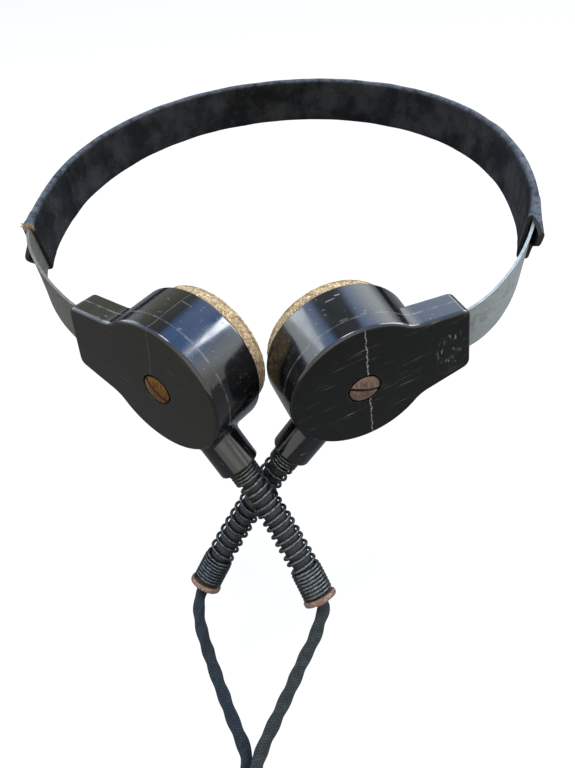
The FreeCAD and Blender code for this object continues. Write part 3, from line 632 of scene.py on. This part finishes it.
# ------------------------------------------------------------------ ear pads
def pad(side):
    r = REC[side]
    X, Y, Z, C = (np.array(r[k], float) for k in "xyzc")
    prof = []
    z0, z1, r0, r1 = 20.72, 27.2, 10.5, 23.8
    def arc(cx, cz, rr, a0, a1, n):
        for i in range(n + 1):
            a = math.radians(a0 + (a1 - a0) * i / n)
            prof.append((cx + rr * math.cos(a), cz + rr * math.sin(a)))
    # outer wall up, crowned front, inner wall down, flat back
    for i in range(7): prof.append((r1 - 0.25 + 0.25 * math.sin(i / 6 * math.pi), z0 + (z1 - 1.5 - z0) * i / 6))
    arc(r1 - 1.6, z1 - 1.5, 1.5, 0, 90, 6)
    for i in range(1, 9): prof.append((r1 - 1.6 + (r0 + 1.5 - (r1 - 1.6)) * i / 9, z1 - 0.02 + 0.35 * math.sin(i / 9 * math.pi)))
    arc(r0 + 1.4, z1 - 1.4, 1.4, 90, 180, 5)
    for i in range(1, 5): prof.append((r0, z1 - 1.4 + (z0 - (z1 - 1.4)) * i / 4))
    for i in range(1, 5): prof.append((r0 + (r1 - 0.25 - r0) * i / 5, z0))
    n = 220
    verts = []
    for i in range(n):
        a = 2 * math.pi * i / n
        for (rr, zz) in prof:
            p = C + X * rr * math.cos(a) + Y * rr * math.sin(a) + Z * zz
            if zz > z0 + 0.4:
                q = Vector(p)
                d = 0.16 * noise.noise(q * 0.9) + 0.10 * noise.noise(q * 2.3) - 0.10 * max(0.0, noise.noise(q * 0.45))
                nrm = X * math.cos(a) + Y * math.sin(a)
                if zz > z1 - 0.6:
                    nrm = Z
                elif rr < r0 + 0.8:
                    nrm = -nrm
                p = p + nrm * d
            verts.append(p)
    k = len(prof)
    flip = REC[side]["hand"] > 0
    faces = grid_faces(n, k, flip=not flip, close=True)
    ob = mesh_object(side + "_pad_visual", verts, faces)
    ob.data.materials.append(M_PAD)
    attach(ob, side + "_receiver")
    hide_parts(side + "_ear_pad")


for side in ("left", "right"):
    pad(side)


# ------------------------------------------------------------------ strain reliefs
def spring(side):
    at, L, u, e = bezier_track(side)
    m = np.array(REC[side]["m"]); m /= np.linalg.norm(m)
    runs = [(-3.9, 0.3, 3), (0.3, 5.4, 4), (5.4, L - 1.9 - 10.7, 13), (L - 1.9 - 10.7, L - 1.9 - 0.75, 8)]
    pts, turn = [], 0.0
    per = 34
    for j, (s0, s1, n) in enumerate(runs):
        f = np.arange(n * per + (1 if j == 3 else 0)) / (n * per)
        s = s0 + (s1 - s0) * f
        r = np.full_like(f, 5.3) if j < 3 else 5.3 + 0.3 * np.minimum(1.0, f * n)
        # coils are a little uneven from use
        r = r - 0.6 + 0.05 * np.sin(s * 1.7) * (j == 2)
        a = 2 * math.pi * (turn + f * n) * REC[side]["hand"]
        C = at(s); T = (at(s + 0.05) - at(s - 0.05)); T /= np.linalg.norm(T, axis=1)[:, None]
        B = np.cross(T, m)
        lean = 0.22 * np.sin(s * 0.9) * (j == 2)
        pts.append(C + T * lean[:, None] + (m * np.cos(a)[:, None] + B * np.sin(a)[:, None]) * r[:, None])
        turn += n
    P = np.vstack(pts)
    ob = tube(side + "_spring_visual", P, lambda i, s, a: 0.6, sides=10)
    ob.data.materials.append(M_SPRING[side])
    return ob, at, L


def relief(side):
    ob, at, L = spring(side)
    start, end = vec(at(0.0)[0]), vec(at(L - 2.0)[0])
    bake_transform(ob)
    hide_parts(side + "_relief_spring")
    P = at(np.linspace(-2.0, L - 2.05, 60))
    core = tube(side + "_tube_visual", P, lambda i, s, a_: 3.75 + 0.06 * noise.noise(Vector((s * 0.4, a_, 1.0))), sides=28)
    core.data.materials.append(M_TUBE)
    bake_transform(core)
    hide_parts(side + "_relief_tube")


def cord_radius(i, s, a, base=2.2, lobe=0.17, pitch=15.5, seed=0.0):
    tw = 2 * math.pi * s / pitch
    r = base - 0.10 + lobe * math.cos(2 * (a - tw))
    r += 0.10 * noise.noise(Vector((s * 0.25 + seed, math.cos(a), math.sin(a))))
    return r


def cords(side):
    at, L, u, e = bezier_track(side)
    first = at(np.array([L - 1.9, L - 0.6, L + 0.6, L + 1.6]))
    low = np.array(CORD[side]) + SHIFT
    P, length = spline(np.vstack([first, low]), 300)
    frames = carried_frames(P)
    s = np.r_[0, np.cumsum(np.linalg.norm(np.diff(P, axis=0), axis=1))]
    cut = int(np.searchsorted(s, 27.0))
    seed = 3.0 if side == "left" else 11.0
    for part, i0, i1 in (("upper", 0, cut), ("lower", cut, len(P) - 1)):
        sub = P[i0:i1 + 1]
        fr = tuple(q[i0:i1 + 1] for q in frames)
        ob = tube("%s_cord_%s_visual" % (side, part), sub,
                  lambda i, q, a, o=s[i0]: (cord_radius(i, q + o, a, seed=seed) *
                                            (1.0 - 0.10 * math.exp(-((q + o) / 2.2) ** 2))),
                  sides=28, frames=fr)
        ob.data.materials.append(M_BRAID[side])
        if part == "upper":
            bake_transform(ob)
            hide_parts(side + "_cord_core")
        else:
            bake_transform(ob)
            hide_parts(side + "_cord")


for side in ("left", "right"):
    relief(side)
    cords(side)

P, tl = spline(np.array(TRUNK) + SHIFT, 140)
trunk = tube("trunk_visual", P, lambda i, s, a: cord_radius(i, s, a, base=2.4, lobe=0.12, pitch=19.0, seed=7.0), sides=28)
trunk.data.materials.append(M_BRAID["left"])
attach(trunk, "headband"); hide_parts("trunk_cord")


# ------------------------------------------------------------------ leather sleeve
def sleeve_half(side):
    P, L = spline(BAND3, 801)
    s = np.linspace(0, L, 801)
    crown = int(np.argmin(np.abs(P[:, 0])))
    T = tangents(P)
    Nout = np.c_[-T[:, 1], T[:, 0], np.zeros(len(T))]
    if Nout[crown][1] < 0: Nout = -Nout
    if side == "left":
        idx = list(range(crown, -1, -2)); endpos = 0.0
    else:
        idx = list(range(crown, 801, 2)); endpos = L
    if idx[-1] not in (0, 800): idx.append(0 if side == "left" else 800)
    hw, ht = 9.8, 1.6
    ring_pts = []
    rc = 1.35
    def corner(cx, cz, a0, n=5):
        for i in range(n + 1):
            a = math.radians(a0 + 90.0 * i / n)
            ring_pts.append((cx + rc * math.cos(a), cz + rc * math.sin(a)))
    corner(ht - rc, hw - rc, 0)
    corner(-(ht - rc), hw - rc, 90)
    for i in range(1, 12): ring_pts.append((-ht, (hw - rc) * (1 - 2 * i / 12)))
    corner(-(ht - rc), -(hw - rc), 180)
    corner(ht - rc, -(hw - rc), 270)
    for i in range(1, 12): ring_pts.append((ht, (hw - rc) * (-1 + 2 * i / 12)))
    k = len(ring_pts)
    verts = []
    for ii in idx:
        dist_end = abs(s[ii] - endpos)
        flare = math.exp(-(dist_end / 3.2) ** 2)
        collar = 1.0 / (1.0 + math.exp((dist_end - 9.5) * 3.0))
        for (n_, z_) in ring_pts:
            q = Vector((P[ii][0] * 0.06, P[ii][1] * 0.06, z_ * 0.12))
            wav = 0.16 * noise.noise(q * 1.0) + 0.07 * noise.noise(q * 4.5)
            dip = -0.30 * (1 - (z_ / hw) ** 2) * (0.5 + noise.noise(Vector((s[ii] * 0.05, 2.0, 3.0))))
            grow = 0.30 * collar + 0.55 * flare
            nn = n_ + (math.copysign(1, n_) * (wav + dip * 0.4 + grow * (0.9 if n_ > 0 else 0.35)))
            zz = z_ * (1 + 0.018 * collar + 0.03 * flare) + 0.22 * noise.noise(Vector((s[ii] * 0.09, 9.0 + math.copysign(1, z_), 0.0)))
            verts.append(P[ii] + Nout[ii] * nn + np.array([0, 0, 1.0]) * zz)
    nst = len(idx)
    away = T[idx[-1]] * (-1.0 if side == "left" else 1.0)

    def mouth_shape(dist_end, n_, z_):
        """How the outer layer flares past the inner one near the open end."""
        w = max(0.0, 1.0 - dist_end / 8.0); w = w * w * (3 - 2 * w)
        out_ = max(0.0, min(1.0, (n_ + 0.2) / 0.9))
        if side == "left":
            lobe = math.exp(-((z_ + 2.2) / 4.0) ** 2)
            return away * (3.4 * w * lobe * out_) + Nout[idx[-1]] * (2.9 * w * w * lobe * out_)
        top = 1.0 / (1.0 + math.exp(-(z_ - 0.5) / 1.9))
        step = w * top * (4.6 + 10.0 * out_)
        return away * step + Nout[idx[-1]] * (w * w * top * (-0.7 + 0.9 * out_))

    v2 = []
    for q_, ii in enumerate(idx):
        de = abs(s[ii] - endpos)
        for j, (n_, z_) in enumerate(ring_pts):
            v2.append(verts[q_ * k + j] + mouth_shape(de, n_, z_))
    verts = v2
    faces = grid_faces(nst, k, flip=(side == "right"))
    # inner wall near the open end, turned in from the mouth
    depth = 14
    off = len(verts)
    inner = [(max(-0.72, min(0.72, a)), b * 8.9 / hw) for a, b in ring_pts]
    for d in range(depth):
        ii = idx[-1 - d]
        for (n_, z_) in inner:
            verts.append(P[ii] + Nout[ii] * n_ + np.array([0, 0, 1.0]) * z_ + mouth_shape(abs(s[ii] - endpos), n_, z_))
    mouth = (nst - 1) * k
    for j in range(k):
        j2 = (j + 1) % k
        f = (mouth + j, mouth + j2, off + j2, off + j)
        faces.append(f[::-1] if side == "right" else f)
    for f in grid_faces(depth, k, flip=(side == "right"), off=off):
        faces.append(f)
    c = len(verts)
    ii = idx[-depth]
    verts.append(P[ii])
    last = off + (depth - 1) * k
    for j in range(k):
        f = (last + j, last + (j + 1) % k, c)
        faces.append(f[::-1] if side == "right" else f)
    c2 = len(verts); verts.append(P[idx[0]])
    for j in range(k):
        f = (c2, (j + 1) % k, j)
        faces.append(f[::-1] if side == "right" else f)
    ob = mesh_object("sleeve_%s_visual" % side, verts, faces, sharp_deg=55)
    ob.data.materials.append(M_LEATHER); ob.data.materials.append(M_HIDE)
    n0 = (nst - 1) * k
    for poly in ob.data.polygons[n0:n0 + k]:
        poly.material_index = 1
    body = side + "_receiver"
    sgn = -1.0 if side == "left" else 1.0
    dirn = np.array([sgn * 0.9, -0.42, 0.0]); dirn /= np.linalg.norm(dirn)
    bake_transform(ob)
    if side == "left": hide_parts("sleeve_left", "sleeve_centre")
    else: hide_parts("sleeve_right")
    if side == "left":
        # the worn corner has frayed to bare hide
        fv, ff = [], []
        rs = np.random.RandomState(7)
        for kk in range(46):
            n0_ = rs.uniform(-2.0, 2.1); z0_ = rs.uniform(8.6, 10.2) if kk % 3 else rs.uniform(7.0, 9.4)
            b0 = P[idx[-1]] - away * rs.uniform(-0.4, 2.2) + Nout[idx[-1]] * n0_ + np.array([0, 0, 1.0]) * z0_
            d0 = away * rs.uniform(0.2, 1.0) + Nout[idx[-1]] * rs.uniform(-0.9, 0.9) + np.array([0, 0, 1.0]) * rs.uniform(-0.3, 0.7)
            d1 = d0 + rs.normal(0, 0.6, 3)
            ln = rs.uniform(0.7, 1.9)
            q_ = np.linspace(0, 1, 5)[:, None]
            pts = b0 + d0 * q_ * ln * 0.6 + d1 * q_ ** 2 * ln * 0.4
            Tt, E, F = carried_frames(pts)
            base = len(fv); r0 = rs.uniform(0.10, 0.26)
            for i in range(5):
                for j in range(6):
                    aa = 2 * math.pi * j / 6
                    fv.append(pts[i] + (E[i] * math.cos(aa) + F[i] * math.sin(aa)) * r0 * (1 - 0.17 * i))
            ff += grid_faces(5, 6, off=base)
            ff.append(tuple(base + j for j in range(5, -1, -1)))
            ff.append(tuple(base + 24 + j for j in range(6)))
        fr = mesh_object("sleeve_left_frayed_corner", fv, ff)
        fr.data.materials.append(M_HIDE)
        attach(fr, body)
    # two rows of heavy thread close the sleeve behind its mouth
    for row, dd in enumerate((6.6, 8.4)):
        ii = int(np.argmin(np.abs(np.abs(s - endpos) - dd)))
        allv, allf = [], []
        for kk in range(9):
            zc = -7.6 + 15.2 * kk / 8 + 0.25 * math.sin(kk * 2.1 + row)
            pts = []
            for q in np.linspace(0, 1, 9):
                zz = zc + (q - 0.5) * 1.25
                pts.append(P[ii] + Nout[ii] * (ht + 0.32 + 0.16 * math.sin(math.pi * q)) + np.array([0, 0, 1.0]) * zz)
            pts = np.array(pts)
            Tt, E, F = carried_frames(pts)
            base = len(allv)
            for i in range(len(pts)):
                rr = 0.26 * (0.55 + 0.45 * math.sin(math.pi * (i / 8 * 0.9 + 0.05)))
                for j in range(8):
                    aa = 2 * math.pi * j / 8
                    allv.append(pts[i] + (E[i] * math.cos(aa) + F[i] * math.sin(aa)) * rr)
            allf += grid_faces(len(pts), 8, off=base)
            allf.append(tuple(base + j for j in range(7, -1, -1)))
            allf.append(tuple(base + (len(pts) - 1) * 8 + j for j in range(8)))
        st = mesh_object("sleeve_%s_stitches_%d" % (side, row + 1), allv, allf)
        st.data.materials.append(M_THREAD)
        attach(st, body)


for side in ("left", "right"):
    sleeve_half(side)

# ------------------------------------------------------------------ stage, light, camera
lo, hi = CAD_BOX[0], CAD_BOX[1]
zf = float(lo[2]) - 0.0045


def stage_mat():
    t = Tree("studio_floor")
    n = t.noise(t.coord("Object"), 3.0, 3.0, 0.5)
    t.set(Base_Color=t.mix(n, (0.125, 0.122, 0.112), (0.150, 0.147, 0.136)), Roughness=0.9)
    t.put(t.bsdf.inputs["Specular IOR Level"], 0.0)
    lp = t.nt.nodes.new("ShaderNodeLightPath")
    em = t.nt.nodes.new("ShaderNodeEmission")
    em.inputs[0].default_value = (1, 0.995, 0.985, 1); em.inputs[1].default_value = 0.66
    df = t.nt.nodes.new("ShaderNodeBsdfDiffuse"); df.inputs[0].default_value = (0.20, 0.195, 0.185, 1)
    add = t.nt.nodes.new("ShaderNodeAddShader")
    t.nt.links.new(em.outputs[0], add.inputs[0]); t.nt.links.new(df.outputs[0], add.inputs[1])
    mx = t.nt.nodes.new("ShaderNodeMixShader")
    t.nt.links.new(lp.outputs["Is Camera Ray"], mx.inputs[0])
    t.nt.links.new(t.bsdf.outputs[0], mx.inputs[1]); t.nt.links.new(add.outputs[0], mx.inputs[2])
    t.nt.links.new(mx.outputs[0], t.out.inputs[0])
    return t.mat


me = bpy.data.meshes.new("studio_floor")
R = 4.0
me.from_pydata([(-R, -R, zf), (R, -R, zf), (R, R, zf), (-R, R, zf)], [], [(0, 1, 2, 3)])
floor = bpy.data.objects.new("studio_floor", me)
bpy.context.scene.collection.objects.link(floor)
me.materials.append(stage_mat())

world = bpy.data.worlds.new("studio"); bpy.context.scene.world = world
world.use_nodes = True
wn = world.node_tree
bg = wn.nodes["Background"]


class WorldTree(Tree):
    def __init__(self, nt):
        self.nt = nt


w_ = WorldTree(wn)
tc = wn.nodes.new("ShaderNodeTexCoord")
dirv = w_.vmath("NORMALIZE", tc.outputs["Generated"])
dx_, dy_, dz_ = [w_.xyz(dirv)[i_] for i_ in range(3)]
cloud = w_.noise(dirv, 2.3, 4.0, 0.55)
sky = w_.mix(w_.ramp(dz_, 0.38, 0.85), (0.86, 0.94, 1.0), (0.24, 0.46, 1.0))
sky = w_.mix(w_.ramp(cloud, 0.50, 0.72, 0.0, 0.75), sky, (0.95, 0.97, 1.0))
# a dim mass of foliage behind and above, open sky either side of it
mid = w_.math("ADD", dx_, w_.math("MULTIPLY", w_.math("SUBTRACT", cloud, 0.5), 0.25))
block = w_.math("MULTIPLY", w_.ramp(w_.math("ABSOLUTE", w_.math("ADD", mid, 0.20)), 0.34, 0.20), w_.ramp(dy_, 0.25, 0.5))
far_r = w_.math("MULTIPLY", w_.ramp(dx_, 0.93, 0.99), 1.0)
sky = w_.mix(w_.math("MULTIPLY", block, 0.88), sky, (0.075, 0.070, 0.018))
low = w_.ramp(dz_, 0.02, 0.34)
sky = w_.mix(low, (0.16, 0.165, 0.17), sky)
front = w_.ramp(dy_, -0.15, 0.05)
sky = w_.mix(front, (0.46, 0.45, 0.43), sky)
wn.links.new(sky, bg.inputs[0])
bg.inputs[1].default_value = 3.0


def area(name, loc, target, size, power, color=(1, 1, 1), size_y=None):
    d = bpy.data.lights.new(name, "AREA")
    d.energy = power; d.color = color; d.size = size
    if size_y:
        d.shape = "RECTANGLE"; d.size_y = size_y
    o = bpy.data.objects.new(name, d)
    bpy.context.scene.collection.objects.link(o)
    o.location = loc
    o.rotation_euler = (Vector(target) - Vector(loc)).to_track_quat("-Z", "Y").to_euler()
    return o


C0 = (0.0, -0.15, -0.03)
area("key_soft", (-0.10, -0.05, 1.05), C0, 0.30, 4.5, (1.0, 0.98, 0.95))
area("window_strip", (0.62, 0.12, 0.46), (0, -0.18, 0), 0.16, 4.0, (0.95, 0.98, 1.0), 0.45)
area("rim_left", (-0.80, 0.35, 0.42), C0, 0.22, 1.6, (0.85, 0.92, 1.0), 0.5)
area("front_fill", (0.1, -0.9, 0.55), C0, 0.8, 1.2)

bpy.context.scene.view_settings.view_transform = "Standard"
bpy.context.scene.view_settings.look = "None"
cam_d = bpy.data.cameras.new("camera")
cam = bpy.data.objects.new("camera", cam_d)
bpy.context.scene.collection.objects.link(cam)
right = Vector((0.9978, 0.0108, -0.0650)); up = Vector((0.0344, 0.7563, 0.6533)); fwd = Vector((-0.0562, 0.6541, -0.7543))
m = Matrix((( right.x, up.x, -fwd.x, 0.0123), (right.y, up.y, -fwd.y, -0.2920), (right.z, up.z, -fwd.z, 0.1149), (0, 0, 0, 1)))
cam.matrix_world = m
cam_d.sensor_fit = "AUTO"; cam_d.sensor_width = 36.0
cam_d.lens = 36.0 * 540.0 / 768.0
cam_d.clip_start = 0.005
bpy.context.scene.camera = cam
